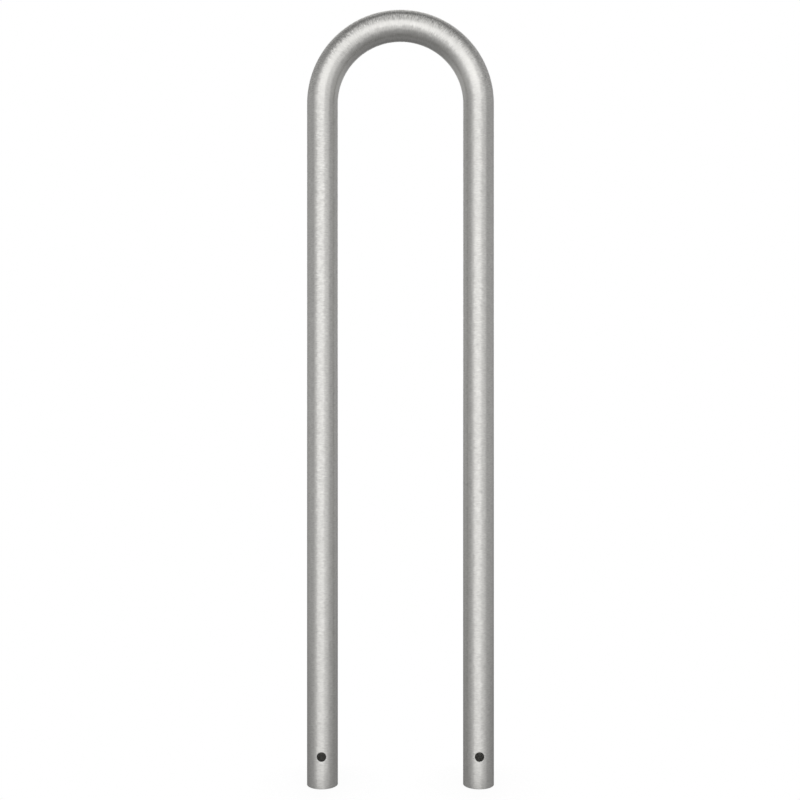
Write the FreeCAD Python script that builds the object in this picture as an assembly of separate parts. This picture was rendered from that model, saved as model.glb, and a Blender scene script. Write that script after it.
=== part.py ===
import FreeCAD, Part
import math
import os

# Hoop bike rack: an upside-down U of stainless tube whose two feet are set in concrete.
# Millimetres. The origin is midway between the feet, on the plane of their cut ends.
# +Z is up, +X runs from the left leg to the right leg, and the front faces -Y.

# Tube
tube_diameter = 48.3
tube_wall = 2.6

# Hoop, over everything and between the legs' centre lines
overall_height = 1215.0
leg_spacing = 245.0

# Straight tail below each end of the bend, where the tube was held while it was bent
bend_tail = 300.0

# Anchor hole, front to back through both walls of each foot, with its outer rims broken
anchor_hole_diameter = 14.5
anchor_hole_height = 50.0
anchor_hole_rim_break = 0.5

# Edge broken off each sawn foot, outside and inside
foot_edge_break = 0.5

# Butt weld: both tube ends are bevelled, with a small gap left at the bore
weld_bevel_angle = 30.0
weld_root_gap = 1.6

# Places that follow from the sizes
tube_radius = tube_diameter / 2
bore_radius = tube_radius - tube_wall
bend_radius = leg_spacing / 2
bend_start_z = overall_height - tube_radius - bend_radius
weld_z = bend_start_z - bend_tail
anchor_hole_radius = anchor_hole_diameter / 2
leg_x = {"left": -leg_spacing / 2, "right": leg_spacing / 2}

# Half of the weld's width at the bore and at the outside
root_half_width = weld_root_gap / 2
face_half_width = root_half_width + tube_wall * math.tan(math.radians(weld_bevel_angle))

back = FreeCAD.Vector(0, 1, 0)
up = FreeCAD.Vector(0, 0, 1)

# Points closer than this lie on the same surface
same_surface = 0.01


# Closed profile of (radius, height) corners, turned once around a leg's centre line
def turned(side, corners):
    points = [FreeCAD.Vector(leg_x[side] + radius, 0, height) for radius, height in corners]
    outline = Part.makePolygon([*points, points[0]])
    return Part.Face(outline).revolve(FreeCAD.Vector(leg_x[side], 0, 0), up, 360)


# Edges in which a round drilled across the tube comes out through the tube's outside
def hole_rims(leg, side):
    rims = []
    for edge in leg.Edges:
        points = edge.discretize(9)
        from_leg = [math.hypot(p.x - leg_x[side], p.y) for p in points]
        from_hole = [math.hypot(p.x - leg_x[side], p.z - anchor_hole_height) for p in points]
        on_outside = all(abs(r - tube_radius) < same_surface for r in from_leg)
        on_hole = all(abs(r - anchor_hole_radius) < same_surface for r in from_hole)
        if on_outside and on_hole:
            rims.append(edge)
    return rims


# Straight leg: sawn foot below, bevelled end above, drilled across near the foot
def make_leg(side):
    tube = turned(side, [
        (bore_radius + foot_edge_break, 0),
        (tube_radius - foot_edge_break, 0),
        (tube_radius, foot_edge_break),
        (tube_radius, weld_z - face_half_width),
        (bore_radius, weld_z - root_half_width),
        (bore_radius, foot_edge_break),
    ])
    drill_start = FreeCAD.Vector(leg_x[side], -tube_diameter, anchor_hole_height)
    drill = Part.makeCylinder(anchor_hole_radius, 2 * tube_diameter, drill_start, back)
    drilled = tube.cut(drill)
    return drilled.makeChamfer(anchor_hole_rim_break, hole_rims(drilled, side))


# Straight tail of the bend on one side, bevelled at its lower end
def make_bend_tail(side):
    return turned(side, [
        (bore_radius, weld_z + root_half_width),
        (tube_radius, weld_z + face_half_width),
        (tube_radius, bend_start_z),
        (bore_radius, bend_start_z),
    ])


# Top bend: half a turn of the tube, carried down into its two tails
def make_top_bend():
    start = FreeCAD.Vector(leg_x["left"], 0, bend_start_z)
    outside = Part.Face(Part.Wire(Part.makeCircle(tube_radius, start, up)))
    inside = Part.Face(Part.Wire(Part.makeCircle(bore_radius, start, up)))
    wall = outside.cut(inside).Faces[0]
    arch = wall.revolve(FreeCAD.Vector(0, 0, bend_start_z), back, 180)
    return arch.fuse([make_bend_tail("left"), make_bend_tail("right")])


# Weld ring: fills the groove between leg and bend, flush with the tube inside and out
def make_weld(side):
    return turned(side, [
        (bore_radius, weld_z - root_half_width),
        (tube_radius, weld_z - face_half_width),
        (tube_radius, weld_z + face_half_width),
        (bore_radius, weld_z + root_half_width),
    ])


nodes = {"top_bend": make_top_bend()}
for side in leg_x:
    nodes[f"{side}_leg"] = make_leg(side)
    nodes[f"{side}_weld"] = make_weld(side)

os.makedirs("parts", exist_ok=True)
for name, shape in nodes.items():
    shape.exportStep(f"parts/{name}.step")
    print(name, "valid" if shape.isValid() else "not valid", round(shape.Volume), "mm3")
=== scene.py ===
from math import atan2, cos, hypot, pi, radians, sin, tan

import bmesh
import bpy
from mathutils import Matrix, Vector


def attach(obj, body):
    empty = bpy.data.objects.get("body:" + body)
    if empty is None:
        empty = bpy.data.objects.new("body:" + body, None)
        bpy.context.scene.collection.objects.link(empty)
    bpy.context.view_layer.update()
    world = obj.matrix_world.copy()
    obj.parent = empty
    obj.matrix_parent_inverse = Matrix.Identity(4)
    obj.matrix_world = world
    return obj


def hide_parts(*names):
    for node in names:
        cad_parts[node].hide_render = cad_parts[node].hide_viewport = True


# Hoop bike rack in satin ground stainless tube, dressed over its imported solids.
# Metres. +Z is up, +X runs from the left leg to the right leg, the front faces -Y.

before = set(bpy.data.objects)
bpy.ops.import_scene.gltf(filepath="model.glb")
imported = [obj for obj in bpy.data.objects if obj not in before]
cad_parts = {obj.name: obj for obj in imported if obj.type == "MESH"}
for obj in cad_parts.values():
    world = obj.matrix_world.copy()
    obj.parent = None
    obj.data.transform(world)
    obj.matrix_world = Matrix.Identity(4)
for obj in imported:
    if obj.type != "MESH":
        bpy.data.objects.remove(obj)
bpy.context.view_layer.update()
bpy.ops.object.select_all(action="DESELECT")
print("frame loaded:", ", ".join(sorted(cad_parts)))

# Camera, level with the middle of the hoop and square to it

camera = {
    "lens": 50,
    "sensor": 36,
    "place": (-0.0015, -1.745, 0.600),
    "shift": (0.0006, 0.0026),
}

bpy.ops.object.camera_add(location=camera["place"], rotation=(radians(90), 0, 0))
photoCamera = bpy.context.object
photoCamera.name = "photoCamera"
photoCamera.data.lens = camera["lens"]
photoCamera.data.sensor_width = camera["sensor"]
photoCamera.data.shift_x, photoCamera.data.shift_y = camera["shift"]
bpy.context.scene.camera = photoCamera
print("camera placed")


# Tube

tube = {
    "radius": 0.02415,
    "wall": 0.0026,
    "reach": 0.1225,  # from the middle of the hoop to each leg's centre line
    "bendStart": 1.06835,
    "sides": 128,
    "bendSteps": 160,
    "smoothAngle": 35,  # degrees between faces that still shade as one surface
}
tube["bore"] = tube["radius"] - tube["wall"]


# Material helpers

def colour(hexCode):  # sRGB hex to the linear colour that a socket takes
    channels = [int(hexCode[i:i + 2], 16) / 255 for i in (1, 3, 5)]
    linear = [c / 12.92 if c <= 0.04045 else ((c + 0.055) / 1.055) ** 2.4 for c in channels]
    return (*linear, 1)


def perMetre(millimetres):  # pattern scale for a spacing given in millimetres
    return 1000 / millimetres


def addNode(tree, kind, settings=None, inputs=None):  # settings by name, inputs by value or by link
    made = tree.nodes.new(kind)
    for name, value in (settings or {}).items():
        setattr(made, name, value)
    for name, value in (inputs or {}).items():
        if isinstance(value, bpy.types.NodeSocket):
            tree.links.new(value, made.inputs[name])
        else:
            made.inputs[name].default_value = value
    return made


def newMaterial(name):
    made = bpy.data.materials.new(name)
    made.use_nodes = True
    made.node_tree.nodes.clear()
    return made, made.node_tree


steelEdge = "#D3D3D3"  # what stainless reflects just before grazing, against a perfect mirror
noiseSpan = (0.25, 0.75)  # most values of a noise pattern lie in it
finerShare = 0.6  # how strong each finer layer of a noise pattern is

# Stainless tube, ground by a belt that runs round it: the scratches lie round the tube,
# so they smear a reflection along it and leave it sharp across

satin = {
    "dark": "#C5C4C1",
    "light": "#CAC9C6",
    "toneSpan": (0.7, 1.3),  # tones and blotches together, where it is dark and where light
    "roughness": 0.353,
    "roughnessSwing": 0.036,  # how much smoother or rougher than the rest a streak may be
    "swingSpan": (0.35, 0.65),  # tones of the roughest and the smoothest streaks
    "anisotropy": 0.96,
    "streak": (5.5, 5.5, 1.4),  # millimetres, long round the tube; real grit marks are finer
    "streakDetail": 2,
    "toneSeed": 3.0,
    "blotch": (12, 12, 8),  # millimetres, from the uneven pressure of the belt
    "blotchDetail": 1,
    "blotchSeed": 5.0,
    "lean": 5.5,  # degrees that a streak may lean round the tube
    "streakTone": 0.12,  # how much darker or brighter than the rest a streak may be
    "relief": 0.00003,
}


def tubePattern(tree, place, size, detail, seed=0.0):
    # Noise on the tube's own coordinates, its size in millimetres outward, backward and along
    scaled = addNode(tree, "ShaderNodeVectorMath", {"operation": "MULTIPLY"}, {
        0: place, 1: [perMetre(millimetres) for millimetres in size],
    })
    return addNode(tree, "ShaderNodeTexNoise", {"noise_dimensions": "4D"}, {
        "Vector": scaled.outputs[0],
        "W": seed,
        "Scale": 1,
        "Detail": detail,
        "Roughness": finerShare,
    }).outputs["Fac"]


def leaning(tree, along, streaks, degreesEachWay, belt):
    # The wall's normal, tipped a little round the tube by each streak
    normal = addNode(tree, "ShaderNodeNewGeometry").outputs["Normal"]
    around = addNode(tree, "ShaderNodeVectorMath", {"operation": "CROSS_PRODUCT"}, {
        0: normal, 1: along,
    })
    reach = tan(radians(degreesEachWay))
    evenTip = addNode(tree, "ShaderNodeMapRange", {"clamp": False}, {
        "Value": streaks, "From Min": noiseSpan[0], "From Max": noiseSpan[1],
        "To Min": -reach, "To Max": reach,
    })
    tip = addNode(tree, "ShaderNodeMath", {"operation": "MULTIPLY"}, {
        0: evenTip.outputs[0], 1: belt.outputs["X"],
    })
    tipped = addNode(tree, "ShaderNodeVectorMath", {"operation": "SCALE"}, {
        0: around.outputs[0], "Scale": tip.outputs[0],
    })
    leant = addNode(tree, "ShaderNodeVectorMath", {"operation": "ADD"}, {
        0: normal, 1: tipped.outputs[0],
    })
    return addNode(tree, "ShaderNodeVectorMath", {"operation": "NORMALIZE"}, {
        0: leant.outputs[0],
    }).outputs[0]


def satinSteel(name, look):
    made, tree = newMaterial(name)
    place = addNode(tree, "ShaderNodeAttribute", {"attribute_name": "tubePlace"}).outputs["Vector"]
    along = addNode(tree, "ShaderNodeTangent", {
        "direction_type": "UV_MAP", "uv_map": "alongTube",
    }).outputs[0]
    belt = addNode(tree, "ShaderNodeSeparateXYZ", {}, {
        0: addNode(tree, "ShaderNodeAttribute", {"attribute_name": "beltWork"}).outputs["Vector"],
    })
    streaks = tubePattern(tree, place, look["streak"], look["streakDetail"])
    tones = tubePattern(tree, place, look["streak"], look["streakDetail"], look["toneSeed"])
    blotches = tubePattern(tree, place, look["blotch"], look["blotchDetail"], look["blotchSeed"])
    together = addNode(tree, "ShaderNodeMath", {"operation": "ADD"}, {0: tones, 1: blotches})
    lightness = addNode(tree, "ShaderNodeMapRange", {}, {
        "Value": together.outputs[0],
        "From Min": look["toneSpan"][0], "From Max": look["toneSpan"][1],
    })
    tint = addNode(tree, "ShaderNodeMixRGB", {}, {
        "Fac": lightness.outputs[0],
        "Color1": colour(look["dark"]),
        "Color2": colour(look["light"]),
    })
    streakTone = addNode(tree, "ShaderNodeMapRange", {"clamp": False}, {
        "Value": tones, "From Min": noiseSpan[0], "From Max": noiseSpan[1],
        "To Min": -look["streakTone"], "To Max": look["streakTone"],
    })
    # Streak tones on the steel's brightness, which is painted lighter at the bend's ends as a
    # painted highlight
    brightness = addNode(tree, "ShaderNodeMath", {"operation": "MULTIPLY_ADD"}, {
        0: streakTone.outputs[0], 1: belt.outputs["Y"], 2: belt.outputs["Z"],
    })
    ground = addNode(tree, "ShaderNodeVectorMath", {"operation": "SCALE"}, {
        0: tint.outputs[0], "Scale": brightness.outputs[0],
    })
    swing = addNode(tree, "ShaderNodeMapRange", {}, {
        "Value": tones, "From Min": look["swingSpan"][0], "From Max": look["swingSpan"][1],
        "To Min": look["roughnessSwing"], "To Max": -look["roughnessSwing"],
    })
    rough = addNode(tree, "ShaderNodeMath", {"operation": "MULTIPLY_ADD"}, {
        0: swing.outputs[0], 1: belt.outputs["X"], 2: look["roughness"],
    })
    relief = addNode(tree, "ShaderNodeBump", {}, {
        "Height": streaks, "Distance": look["relief"], "Strength": 1,
        "Normal": leaning(tree, along, streaks, look["lean"], belt),
    })
    steel = addNode(tree, "ShaderNodeBsdfPrincipled", {}, {
        "Base Color": ground.outputs[0],
        "Metallic": 1,
        "Roughness": rough.outputs[0],
        "Specular Tint": colour(steelEdge),
        "Anisotropic": look["anisotropy"],
        "Tangent": along,
        "Normal": relief.outputs[0],
    })
    addNode(tree, "ShaderNodeOutputMaterial", {}, {"Surface": steel.outputs[0]})
    return made


# Inside of the tube: pickled after it was rolled, never ground, so a dull even grey

pickled = {
    "dark": "#C2C1BD",
    "light": "#D3D2CE",
    "roughness": 0.5,
    "grain": (3, 3, 6),  # real pickling is finer, and drawn coarse enough to show
    "grainDetail": 3,
    "relief": 0.00002,
}

# Sawn foot: the band saw's marks run straight across it, which leaves it darker than ground steel

sawn = {
    "dark": "#A9A9A7",
    "light": "#CDCDCB",
    "roughness": 0.38,
    "grain": (0.7, 25, 4),
    "grainDetail": 3,
    "relief": 0.00002,
}

# Anchor hole: the drill's marks run round it, on bare bright metal

drilled = {
    "dark": "#AEAEAC",
    "light": "#CCCCCA",
    "roughness": 0.35,
    "grain": (8, 0.5, 8),  # real marks are about 0.1 apart, and drawn coarser to show
    "grainDetail": 3,
    "relief": 0.00002,
}


def plainSteel(name, look):
    made, tree = newMaterial(name)
    place = addNode(tree, "ShaderNodeAttribute", {"attribute_name": "tubePlace"}).outputs["Vector"]
    grain = tubePattern(tree, place, look["grain"], look["grainDetail"])
    tone = addNode(tree, "ShaderNodeMixRGB", {}, {
        "Fac": grain, "Color1": colour(look["dark"]), "Color2": colour(look["light"]),
    })
    relief = addNode(tree, "ShaderNodeBump", {}, {
        "Height": grain, "Distance": look["relief"], "Strength": 1,
    })
    steel = addNode(tree, "ShaderNodeBsdfPrincipled", {}, {
        "Base Color": tone.outputs[0],
        "Metallic": 1,
        "Roughness": look["roughness"],
        "Specular Tint": colour(steelEdge),
        "Normal": relief.outputs[0],
    })
    addNode(tree, "ShaderNodeOutputMaterial", {}, {"Surface": steel.outputs[0]})
    return made


tubeSatin = satinSteel("beltGroundStainless", satin)
boreSteel = plainSteel("pickledStainless", pickled)
sawnSteel = plainSteel("sawnStainless", sawn)
drilledSteel = plainSteel("drilledStainless", drilled)
print("materials made")


# Feet and welds

foot = {
    "edgeBreak": 0.0005,
    "holeRadius": 0.00725,
    "holeHeight": 0.050,
    "holeSides": 64,
    "rimBreak": 0.0005,
    "roundSteps": 3,
    "ringsByHole": (0.034, 0.066),  # heights at which the wall is divided below and above it
    "drilledReach": 1.5,  # in hole radii, how far from the hole's middle a face counts as drilled
}

weld = {
    "height": 0.76835,
    "halfRoot": 0.0008,
    "halfFace": 0.0023011,
    "bead": 0.0008,  # how far the root stands into the bore
    "shoulder": (0.8, 0.6),  # where the bead turns, in shares of its reach and half width
    "smoothAngle": 40,
}

samePlace = 0.00002  # points closer than this are one point


def startRing(name, x, radius, height):
    bpy.ops.object.select_all(action="DESELECT")
    bpy.ops.mesh.primitive_circle_add(
        vertices=tube["sides"], radius=radius, location=(x, 0, height), enter_editmode=True)
    bpy.context.object.name = name
    bpy.context.object.data.name = name
    return bpy.context.object


def growRing(x, fromPlace, toPlace):  # the last ring is carried to the next radius and height
    fromRadius, fromHeight = fromPlace
    toRadius, toHeight = toPlace
    bpy.ops.mesh.extrude_region_move(
        TRANSFORM_OT_translate={"value": (0, 0, toHeight - fromHeight)})
    size = toRadius / fromRadius
    if size != 1:
        bpy.ops.transform.resize(value=(size, size, 1), center_override=(x, 0, toHeight))


def growRings(x, places):
    for fromPlace, toPlace in zip(places, places[1:]):
        growRing(x, fromPlace, toPlace)


def closeRings():  # the last ring lies on the first
    bpy.ops.mesh.select_all(action="SELECT")
    bpy.ops.mesh.remove_doubles(threshold=samePlace)
    bpy.ops.mesh.normals_make_consistent(inside=False)


def settle():  # place goes into the mesh, the object sits at the origin
    bpy.ops.object.mode_set(mode="OBJECT")
    bpy.ops.object.transform_apply(location=True, rotation=True, scale=True)


def fromCentreLine(co):
    # Distance along the hoop from the left foot, then out from the centre line and back from it
    bendLength = pi * tube["reach"]
    if co.z <= tube["bendStart"]:
        outward = abs(co.x) - tube["reach"]
        if co.x < 0:
            return co.z, outward, co.y
        return 2 * tube["bendStart"] + bendLength - co.z, outward, co.y
    turn = atan2(co.z - tube["bendStart"], -co.x)
    outward = hypot(co.x, co.z - tube["bendStart"]) - tube["reach"]
    return tube["bendStart"] + tube["reach"] * turn, outward, co.y


def wallNormal(co, sign):  # straight out from the centre line, or into the bore
    if co.z <= tube["bendStart"]:
        centre = Vector((tube["reach"] if co.x > 0 else -tube["reach"], 0, co.z))
    else:
        spoke = Vector((co.x, 0, co.z - tube["bendStart"])).normalized()
        centre = Vector((0, 0, tube["bendStart"])) + spoke * tube["reach"]
    return (co - centre).normalized() * sign


beltWork = {  # how the hand grinding of the bend differs from that of the legs, and where its steel is painted lighter as a painted highlight
    "across": (-1.0, -0.6, -0.3, -0.1, 0.05, 0.25, 0.45, 0.65, 0.9),  # bend's inside to its outside
    "lean": (1.1, 1.1, 1.3, 0.25, 0.3, 2.4, 1.9, 1.7, 0.7),
    "tone": (1.0, 1.0, 1.2, 0.4, 0.9, 3.4, 3.6, 3.3, 2.8),
    "ends": {  # the ends of the bend, by their distance along it from the middle: the steel is painted lighter there, a painted highlight, and its streaks are fainter
        "left": {"place": -0.155, "reach": 0.060, "brightness": 1.09, "streaks": 0.45},
        "right": {"place": 0.144, "reach": 0.066, "brightness": 1.16, "streaks": 0.6},
    },
    "fullFrom": 0.85,  # share of a quarter turn from the middle, within which all this is full
    "faintAcross": (0.7, 0.4),  # where across the bend the ends' fainter streaks set in
}


def smoothly(value, start, end):  # 0 at start, 1 at end
    share = min(max((value - start) / (end - start), 0), 1)
    return share * share * (3 - 2 * share)


def across(share, values):
    places = beltWork["across"]
    share = min(max(share, places[0]), places[-1])
    for i in range(len(places) - 1):
        if share <= places[i + 1]:
            part = (share - places[i]) / (places[i + 1] - places[i])
            return values[i] + (values[i + 1] - values[i]) * part


def beltWorkAt(along, outward):
    # Against the legs: how far streaks lean, how much their tones differ, how bright the steel is
    # (painted lighter at the bend's ends, a painted highlight)
    quarter = tube["reach"] * pi / 2
    fromMiddle = along - tube["bendStart"] - quarter
    onBend = smoothly(abs(fromMiddle), quarter, quarter * beltWork["fullFrom"])
    share = outward / tube["radius"]
    lean = 1 + (across(share, beltWork["lean"]) - 1) * onBend
    tone = 1 + (across(share, beltWork["tone"]) - 1) * onBend
    brightness = 1
    for end in beltWork["ends"].values():
        dressed = smoothly(abs(fromMiddle - end["place"]), end["reach"], 0)
        # painted highlight: the steel is painted lighter near each end of the bend
        brightness += (end["brightness"] - 1) * dressed
        fainter = 1 + (end["streaks"] - 1) * dressed * smoothly(share, *beltWork["faintAcross"])
        lean, tone = lean * fainter, tone * fainter
    return lean, tone, brightness


def finishTube(piece):
    # The four finishes, the coordinates that the patterns follow, and a round tube's own shading
    mesh = piece.data
    ground, pickledPart, sawnPart, drilledPart = range(4)
    for material in (tubeSatin, boreSteel, sawnSteel, drilledSteel):
        mesh.materials.append(material)
    places = [fromCentreLine(v.co) for v in mesh.vertices]
    holeReach = foot["drilledReach"] * foot["holeRadius"]
    off = [hypot(p[1], p[2]) for p in places]
    stored = mesh.attributes.new("tubePlace", "FLOAT_VECTOR", "POINT")
    belt = mesh.attributes.new("beltWork", "FLOAT_VECTOR", "POINT")
    for i, (along, outward, backward) in enumerate(places):
        stored.data[i].vector = (outward, backward, along)
        # the steel's brightness stored here carries the painted highlight at the bend's ends
        belt.data[i].vector = beltWorkAt(along, outward)
    uv = mesh.uv_layers.new(name="alongTube")
    normals = [Vector((0, 0, 0))] * len(mesh.loops)
    for face in mesh.polygons:
        face.use_smooth = True
        onOutside = all(abs(off[v] - tube["radius"]) < samePlace for v in face.vertices)
        onBore = all(abs(off[v] - tube["bore"]) < samePlace for v in face.vertices)
        middle = fromCentreLine(face.center)
        if onOutside:
            face.material_index = ground
        elif onBore:
            face.material_index = pickledPart
        elif hypot(middle[1], face.center.z - foot["holeHeight"]) < holeReach:
            face.material_index = drilledPart
        else:
            face.material_index = sawnPart
        middleAngle = atan2(middle[2], middle[1])
        for loop, v in zip(face.loop_indices, face.vertices):
            angle = atan2(places[v][2], places[v][1]) - middleAngle
            angle = (angle + pi) % (2 * pi) - pi + middleAngle
            uv.data[loop].uv = (places[v][0], angle * tube["radius"])
            if onOutside:
                normals[loop] = wallNormal(mesh.vertices[v].co, 1)
            elif onBore:
                normals[loop] = wallNormal(mesh.vertices[v].co, -1)
    mesh.normals_split_custom_set(normals)


def dress(piece, node):
    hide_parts(node)
    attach(piece, "root")


# Legs: a straight tube, its foot sawn and its edges broken, drilled from front to back

def drillFoot(piece, x):
    bpy.ops.mesh.primitive_cylinder_add(
        vertices=foot["holeSides"], radius=foot["holeRadius"], depth=4 * tube["radius"],
        location=(x, 0, foot["holeHeight"]), rotation=(radians(90), 0, 0))
    drill = bpy.context.object
    bpy.ops.object.select_all(action="DESELECT")
    piece.select_set(True)
    bpy.context.view_layer.objects.active = piece
    bpy.ops.object.modifier_add(type="BOOLEAN")
    bore = piece.modifiers[-1]
    bore.operation = "DIFFERENCE"
    bore.solver = "EXACT"
    bore.object = drill
    bpy.ops.object.modifier_apply(modifier=bore.name)
    bpy.data.objects.remove(drill)


def selectEdges(piece, wanted):
    bpy.ops.object.mode_set(mode="EDIT")
    bpy.ops.mesh.select_mode(type="EDGE")
    bpy.ops.mesh.select_all(action="DESELECT")
    mesh = bmesh.from_edit_mesh(piece.data)
    for edge in mesh.edges:
        if wanted(edge):
            edge.select_set(True)
    bmesh.update_edit_mesh(piece.data)


def makeLeg(name, x, node):
    outer, inner = tube["radius"], tube["bore"]
    near, far = foot["ringsByHole"]
    top = weld["height"]
    piece = startRing(name, x, outer, 0)
    growRings(x, [
        (outer, 0), (outer, near), (outer, far), (outer, top - weld["halfFace"]),
        (inner, top - weld["halfRoot"]), (inner, far), (inner, near), (inner, 0), (outer, 0),
    ])
    closeRings()
    settle()

    def onSawnEdge(edge):  # round the foot's outside or its bore
        outward = [hypot(v.co.x - x, v.co.y) for v in edge.verts]
        onFloor = all(v.co.z < samePlace for v in edge.verts)
        return onFloor and abs(outward[0] - outward[1]) < samePlace

    selectEdges(piece, onSawnEdge)
    bpy.ops.mesh.bevel(offset=foot["edgeBreak"], segments=foot["roundSteps"])
    bpy.ops.object.mode_set(mode="OBJECT")
    drillFoot(piece, x)

    def onRim(edge):  # where the hole comes out of the tube
        return all(
            abs(hypot(v.co.x - x, v.co.y) - outer) < samePlace
            and abs(hypot(v.co.x - x, v.co.z - foot["holeHeight"]) - foot["holeRadius"]) < samePlace
            for v in edge.verts)

    selectEdges(piece, onRim)
    bpy.ops.mesh.bevel(offset=foot["rimBreak"], segments=foot["roundSteps"])
    bpy.ops.object.mode_set(mode="OBJECT")
    bpy.ops.object.shade_smooth_by_angle(angle=radians(tube["smoothAngle"]))
    finishTube(piece)
    dress(piece, node)
    print(name, len(piece.data.polygons), "faces")


makeLeg("leftLeg", -tube["reach"], "left_leg")
makeLeg("rightLeg", tube["reach"], "right_leg")


# Top bend: up the left tail, over the half turn, down the right tail, and back inside

def makeBend():
    outer, inner = tube["radius"], tube["bore"]
    x, start = tube["reach"], tube["bendStart"]
    rootEnd = weld["height"] + weld["halfRoot"]
    faceEnd = weld["height"] + weld["halfFace"]
    bendCentre = (0, 0, start)
    piece = startRing("topBend", -x, inner, rootEnd)
    nearStart = start - tube["radius"]  # a ring on each tail, where its brighter steel has faded out
    growRings(-x, [(inner, rootEnd), (outer, faceEnd), (outer, nearStart), (outer, start)])
    bpy.ops.mesh.spin(steps=tube["bendSteps"], angle=-pi, center=bendCentre, axis=(0, 1, 0))
    growRings(x, [
        (outer, start), (outer, nearStart), (outer, faceEnd), (inner, rootEnd), (inner, start),
    ])
    bpy.ops.mesh.spin(steps=tube["bendSteps"], angle=pi, center=bendCentre, axis=(0, 1, 0))
    growRings(-x, [(inner, start), (inner, rootEnd)])
    closeRings()
    settle()
    bpy.ops.object.shade_smooth_by_angle(angle=radians(tube["smoothAngle"]))
    finishTube(piece)
    dress(piece, "top_bend")
    print("topBend", len(piece.data.polygons), "faces")


makeBend()


# Welds: the groove filled, ground flush outside, the root standing a little into the bore

def makeWeld(name, x, node):
    outer, inner, height = tube["radius"], tube["bore"], weld["height"]
    reach, halfWidth = weld["shoulder"]
    shoulder, shoulderUp = inner - weld["bead"] * reach, weld["halfRoot"] * halfWidth
    piece = startRing(name, x, inner, height - weld["halfRoot"])
    growRings(x, [
        (inner, height - weld["halfRoot"]), (outer, height - weld["halfFace"]),
        (outer, height + weld["halfFace"]), (inner, height + weld["halfRoot"]),
        (shoulder, height + shoulderUp), (inner - weld["bead"], height),
        (shoulder, height - shoulderUp),
        (inner, height - weld["halfRoot"]),
    ])
    closeRings()
    settle()
    bpy.ops.object.shade_smooth_by_angle(angle=radians(weld["smoothAngle"]))
    finishTube(piece)
    dress(piece, node)
    print(name, len(piece.data.polygons), "faces")


makeWeld("leftWeld", -tube["reach"], "left_weld")
makeWeld("rightWeld", tube["reach"], "right_weld")


# Floor: a pale board under the feet that takes their shadow and fades into the white around it.
# The metal sees the wider grey board that it lies on, beside the feet and behind them, which
# darkens the legs towards their feet.

floorLook = {
    "radius": 1.5,
    "sides": 96,
    "fade": (0.05, 0.13),  # from each foot, where the pale board ends
    "glow": 0.9,  # keeps the pale board near white
    "matt": 0.12,  # what is left to show the feet's shadow
    "grey": 0.34,  # how bright the grey board is in the metal
    "greyEnd": (0.8, 1.5),  # from the middle, where the grey board ends
    "greyFront": (-0.12, 0.0),  # how far to the front it reaches
    "underFoot": 0.3,  # painted shade: how bright it is inside the feet, against the rest
}


def whereSeen(tree):  # camera, glossy and transmission rays see the white background
    path = addNode(tree, "ShaderNodeLightPath")
    first = addNode(tree, "ShaderNodeMath", {"operation": "ADD", "use_clamp": True}, {
        0: path.outputs["Is Camera Ray"], 1: path.outputs["Is Glossy Ray"],
    })
    return addNode(tree, "ShaderNodeMath", {"operation": "ADD", "use_clamp": True}, {
        0: first.outputs[0], 1: path.outputs["Is Transmission Ray"],
    }).outputs[0]


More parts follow.
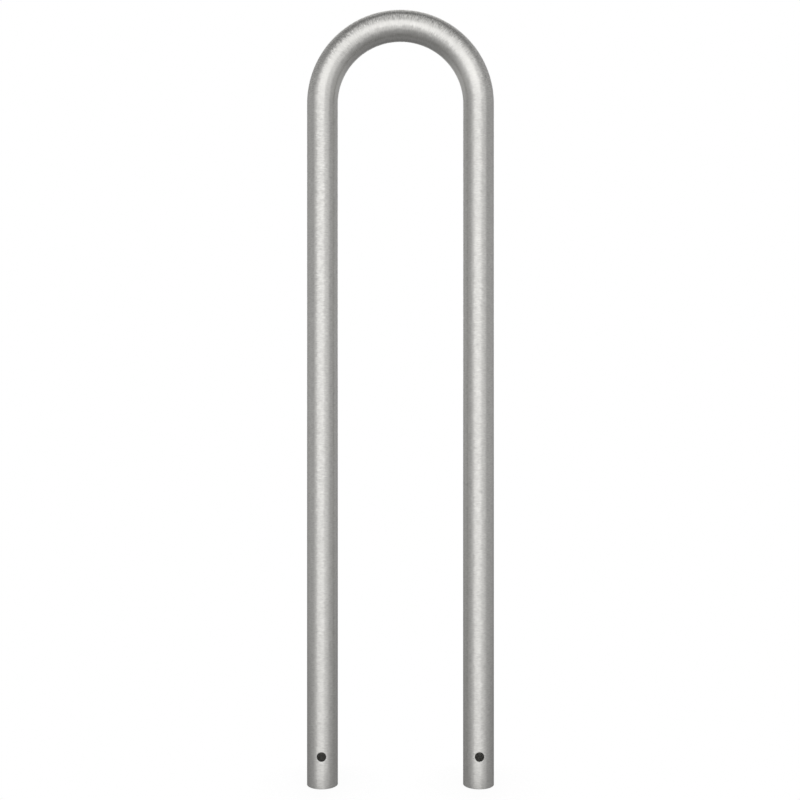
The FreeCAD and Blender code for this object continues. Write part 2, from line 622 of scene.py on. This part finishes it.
def makeFloor():
    bpy.ops.object.select_all(action="DESELECT")
    bpy.ops.mesh.primitive_circle_add(
        vertices=floorLook["sides"], radius=floorLook["radius"], fill_type="NGON",
        location=(0, 0, 0))
    piece = bpy.context.object
    piece.name = "paleFloor"
    made, tree = newMaterial("paintedBoard")
    place = addNode(tree, "ShaderNodeTexCoord").outputs["Object"]
    oneSide = addNode(tree, "ShaderNodeVectorMath", {"operation": "ABSOLUTE"}, {0: place})
    fromFoot = addNode(tree, "ShaderNodeVectorMath", {"operation": "DISTANCE"}, {
        0: oneSide.outputs[0], 1: (tube["reach"], 0, 0),
    }).outputs["Value"]
    fromMiddle = addNode(tree, "ShaderNodeVectorMath", {"operation": "LENGTH"}, {0: place})
    paleEnds = addNode(tree, "ShaderNodeMapRange", {"interpolation_type": "SMOOTHSTEP"}, {
        "Value": fromFoot, "From Min": floorLook["fade"][0], "From Max": floorLook["fade"][1],
    })
    greyEnds = addNode(tree, "ShaderNodeMapRange", {"interpolation_type": "SMOOTHSTEP"}, {
        "Value": fromMiddle.outputs["Value"],
        "From Min": floorLook["greyEnd"][0], "From Max": floorLook["greyEnd"][1],
    })
    frontEnds = addNode(tree, "ShaderNodeMapRange", {"interpolation_type": "SMOOTHSTEP"}, {
        "Value": addNode(tree, "ShaderNodeSeparateXYZ", {}, {0: place}).outputs["Y"],
        "From Min": floorLook["greyFront"][0], "From Max": floorLook["greyFront"][1],
        "To Min": 1, "To Max": 0,
    })
    greyHidden = addNode(tree, "ShaderNodeMath", {"operation": "MAXIMUM"}, {
        0: greyEnds.outputs[0], 1: frontEnds.outputs[0],
    })
    inMetal = addNode(tree, "ShaderNodeLightPath").outputs["Is Glossy Ray"]
    # Painted shade: the board's glow, both where seen and in the metal, is dimmed inside each foot's
    # bore
    shade = addNode(tree, "ShaderNodeMapRange", {}, {
        "Value": fromFoot, "From Min": tube["bore"], "From Max": tube["radius"],
        "To Min": floorLook["underFoot"], "To Max": 1,
    }).outputs[0]
    glow = addNode(tree, "ShaderNodeEmission", {}, {"Color": shade, "Strength": floorLook["glow"]})
    paint = addNode(tree, "ShaderNodeBsdfDiffuse", {}, {"Color": (floorLook["matt"],) * 3 + (1,)})
    pale = addNode(tree, "ShaderNodeAddShader", {}, {0: glow.outputs[0], 1: paint.outputs[0]})
    grey = addNode(tree, "ShaderNodeEmission", {}, {"Color": shade, "Strength": floorLook["grey"]})
    board = addNode(tree, "ShaderNodeMixShader", {}, {
        0: inMetal, 1: pale.outputs[0], 2: grey.outputs[0],
    })
    ends = addNode(tree, "ShaderNodeMix", {}, {
        "Factor": inMetal, "A": paleEnds.outputs[0], "B": greyHidden.outputs[0],
    })
    below = addNode(tree, "ShaderNodeNewGeometry").outputs["Backfacing"]
    hidden = addNode(tree, "ShaderNodeMath", {"operation": "MAXIMUM"}, {
        0: ends.outputs[0], 1: below,
    })
    clear = addNode(tree, "ShaderNodeBsdfTransparent")
    shown = addNode(tree, "ShaderNodeMixShader", {}, {
        0: hidden.outputs[0], 1: board.outputs[0], 2: clear.outputs[0],
    })
    addNode(tree, "ShaderNodeOutputMaterial", {}, {"Surface": shown.outputs[0]})
    piece.data.materials.append(made)


makeFloor()


# World: white where it is seen, a plain level where it lights

world = {"white": 1.0, "level": 0.6}


def makeWorld():
    made = bpy.data.worlds.new("studioWhite")
    made.use_nodes = True
    tree = made.node_tree
    tree.nodes.clear()
    level = addNode(tree, "ShaderNodeBackground", {}, {
        "Color": (1, 1, 1, 1), "Strength": world["level"],
    })
    white = addNode(tree, "ShaderNodeBackground", {}, {
        "Color": (1, 1, 1, 1), "Strength": world["white"],
    })
    mixed = addNode(tree, "ShaderNodeMixShader", {}, {
        0: whereSeen(tree), 1: level.outputs[0], 2: white.outputs[0],
    })
    addNode(tree, "ShaderNodeOutputWorld", {}, {"Surface": mixed.outputs[0]})
    bpy.context.scene.world = made


makeWorld()


# Studio: grey walls that only the metal sees, darker overhead and below, open behind the hoop

walls = {
    "radius": 15,
    "segments": 64,
    "rings": 32,
    "middle": (0, 0, 0.6),
    "level": 0.72,  # how bright a grey of 1 is
    "heights": (-90, -50, -15, 5, 30, 50, 66, 81, 90),  # degrees above the horizon
    "greys": {  # at those heights, in front, to each side and behind
        0: (0.5, 0.85, 1.1, 1.1, 1.0, 1.0, 1.05, 0.8, 0.25),
        90: (0.5, 0.3, 0.75, 1.1, 0.45, 0.45, 0.3, 0.25, 0.25),
        180: (0.5, 0.25, 0.45, 0.8, 0.85, 1.25, 1.35, 0.45, 0.25),
    },
    "openTo": 32,  # height of the middle of the opening
    "opening": (0.95, 0.99),  # how squarely a direction points at it where the wall ends
}


def greysByHeight(tree, height, greys):
    ramp = addNode(tree, "ShaderNodeValToRGB", {}, {0: height})
    stops = ramp.color_ramp.elements
    while len(stops) < len(greys):
        stops.new(0.5)
    for stop, degreesUp, grey in zip(stops, walls["heights"], greys):
        stop.position = degreesUp / 180 + 0.5
        stop.color = (grey, grey, grey, 1)
    return ramp.outputs[0]


def makeWalls():
    bpy.ops.object.select_all(action="DESELECT")
    bpy.ops.mesh.primitive_uv_sphere_add(
        segments=walls["segments"], ring_count=walls["rings"],
        radius=walls["radius"], location=walls["middle"])
    piece = bpy.context.object
    piece.name = "greyWalls"
    made, tree = newMaterial("greyStudioWall")
    place = addNode(tree, "ShaderNodeTexCoord").outputs["Object"]
    direction = addNode(tree, "ShaderNodeVectorMath", {"operation": "NORMALIZE"}, {0: place})
    parts = addNode(tree, "ShaderNodeSeparateXYZ", {}, {0: direction.outputs[0]})
    climb = addNode(tree, "ShaderNodeMath", {"operation": "ARCSINE"}, {0: parts.outputs["Z"]})
    height = addNode(tree, "ShaderNodeMapRange", {}, {
        "Value": climb.outputs[0], "From Min": -pi / 2, "From Max": pi / 2,
    }).outputs[0]
    sideways = addNode(tree, "ShaderNodeMath", {"operation": "ABSOLUTE"}, {0: parts.outputs["X"]})
    ahead = addNode(tree, "ShaderNodeMath", {"operation": "MULTIPLY"}, {
        0: parts.outputs["Y"], 1: -1,
    })
    turn = addNode(tree, "ShaderNodeMath", {"operation": "ARCTAN2"}, {
        0: sideways.outputs[0], 1: ahead.outputs[0],
    })
    turns = list(walls["greys"])
    grey = greysByHeight(tree, height, walls["greys"][turns[0]])
    for fromTurn, toTurn in zip(turns, turns[1:]):
        passing = addNode(tree, "ShaderNodeMapRange", {}, {
            "Value": turn.outputs[0], "From Min": radians(fromTurn), "From Max": radians(toTurn),
        })
        grey = addNode(tree, "ShaderNodeMixRGB", {}, {
            "Fac": passing.outputs[0],
            "Color1": grey,
            "Color2": greysByHeight(tree, height, walls["greys"][toTurn]),
        }).outputs[0]
    glow = addNode(tree, "ShaderNodeEmission", {}, {"Color": grey, "Strength": walls["level"]})
    up = radians(walls["openTo"])
    squareness = addNode(tree, "ShaderNodeVectorMath", {"operation": "DOT_PRODUCT"}, {
        0: direction.outputs[0], 1: (0, cos(up), sin(up)),
    })
    opening = addNode(tree, "ShaderNodeMapRange", {"interpolation_type": "SMOOTHSTEP"}, {
        "Value": squareness.outputs["Value"],
        "From Min": walls["opening"][0], "From Max": walls["opening"][1],
    })
    clear = addNode(tree, "ShaderNodeBsdfTransparent")
    shown = addNode(tree, "ShaderNodeMixShader", {}, {
        0: opening.outputs[0], 1: glow.outputs[0], 2: clear.outputs[0],
    })
    addNode(tree, "ShaderNodeOutputMaterial", {}, {"Surface": shown.outputs[0]})
    piece.data.materials.append(made)
    piece.visible_camera = False
    piece.visible_diffuse = False
    piece.visible_transmission = False
    piece.visible_shadow = False


makeWalls()


# Lamps: soft boxes, each filling the space between two side angles and two heights, in degrees,
# as seen from the middle of the walls. A side angle of 0 is straight in front.

lamps = {
    "mainSoftbox": {"side": (-40, 18), "up": (-11, 27), "radiance": 1.09},
    "topEdge": {"side": (-38, 20), "up": (27, 40), "radiance": 0.62},
    "leftWing": {"side": (-58, -40), "up": (-11, 31), "radiance": 0.44},
    "rightWing": {"side": (18, 55), "up": (-11, 31), "radiance": 0.47},
    "upperSoftbox": {"side": (-35, 42), "up": (40, 72), "radiance": 0.36},
    "lowerSoftbox": {"side": (-38, 38), "up": (-38, -11), "radiance": 0.42},
    "backSoftbox": {"side": (154, 206), "up": (0, 50), "radiance": 0.85},
}
lampDistance = 12  # from the middle of the walls


def makeLamp(name, lamp):
    side, up = (radians(sum(lamp[k]) / 2) for k in ("side", "up"))
    halfSide, halfUp = (radians(lamp[k][1] - lamp[k][0]) / 2 for k in ("side", "up"))
    offset = Vector((sin(side) * cos(up), -cos(side) * cos(up), sin(up))) * lampDistance
    bpy.ops.object.light_add(type="AREA", location=Vector(walls["middle"]) + offset)
    made = bpy.context.object
    made.name = name
    made.rotation_euler = offset.to_track_quat("Z", "Y").to_euler()
    made.data.shape = "RECTANGLE"
    made.data.size = 2 * lampDistance * tan(halfSide) * cos(up)
    made.data.size_y = 2 * lampDistance * tan(halfUp)
    made.data.energy = lamp["radiance"] * pi * made.data.size * made.data.size_y
    made.visible_camera = False


for lampName, lamp in lamps.items():
    makeLamp(lampName, lamp)
print("studio lit")

bpy.context.scene.view_settings.view_transform = "Standard"
